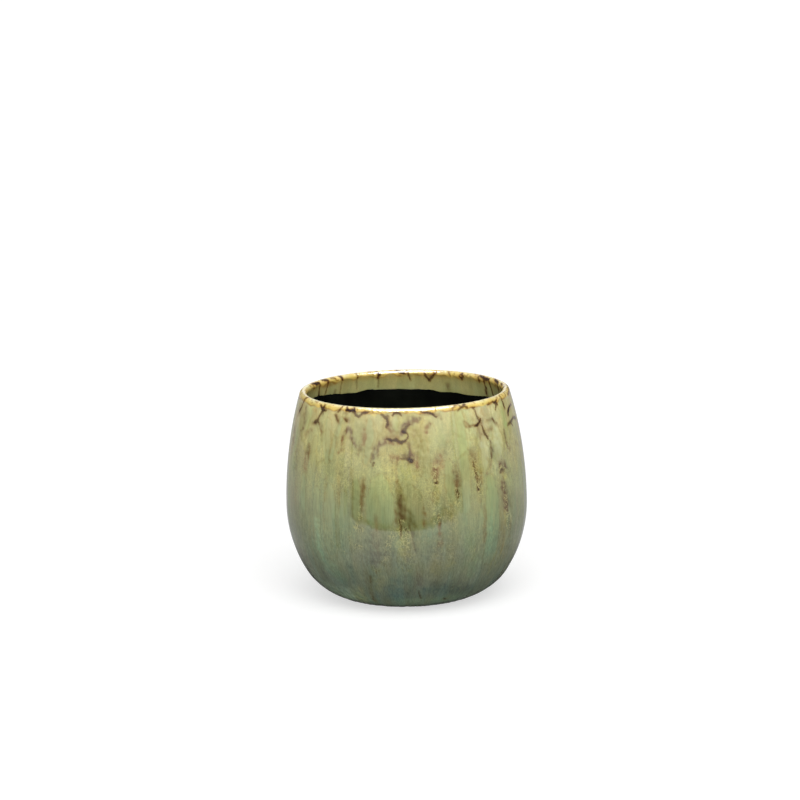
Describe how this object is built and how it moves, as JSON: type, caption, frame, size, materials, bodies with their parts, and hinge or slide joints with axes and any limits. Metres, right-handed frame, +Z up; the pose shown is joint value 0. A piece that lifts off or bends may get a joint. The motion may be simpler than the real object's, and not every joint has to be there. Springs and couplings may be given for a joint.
{
  "type": "cachepot",
  "caption": "Round bellied stoneware cachepot with a rolled lip, a reactive glaze outside, a black lining inside and felt dots under its foot.",
  "frame": {"origin": "centre of the circle that the pot stands on, on the undersides of the felt dots", "axes": "+Z up along the pot's axis of revolution; +X to the right and +Y away from the viewer of the picture's front"},
  "size_m": [0.145, 0.145, 0.125],
  "materials": {
    "bare_clay": "matte bare fired clay",
    "reactive_glaze": "glossy, runny green and brown glaze with a honey lip",
    "black_lining": "glossy black glaze",
    "felt": "pressed wool felt"
  },
  "bodies": {
    "root": {"clay_body": "bare_clay", "reactive_glaze": "reactive_glaze", "black_lining": "black_lining", "felt_dot_1": "felt", "felt_dot_2": "felt", "felt_dot_3": "felt", "felt_dot_4": "felt"}
  },
  "joints": []
}
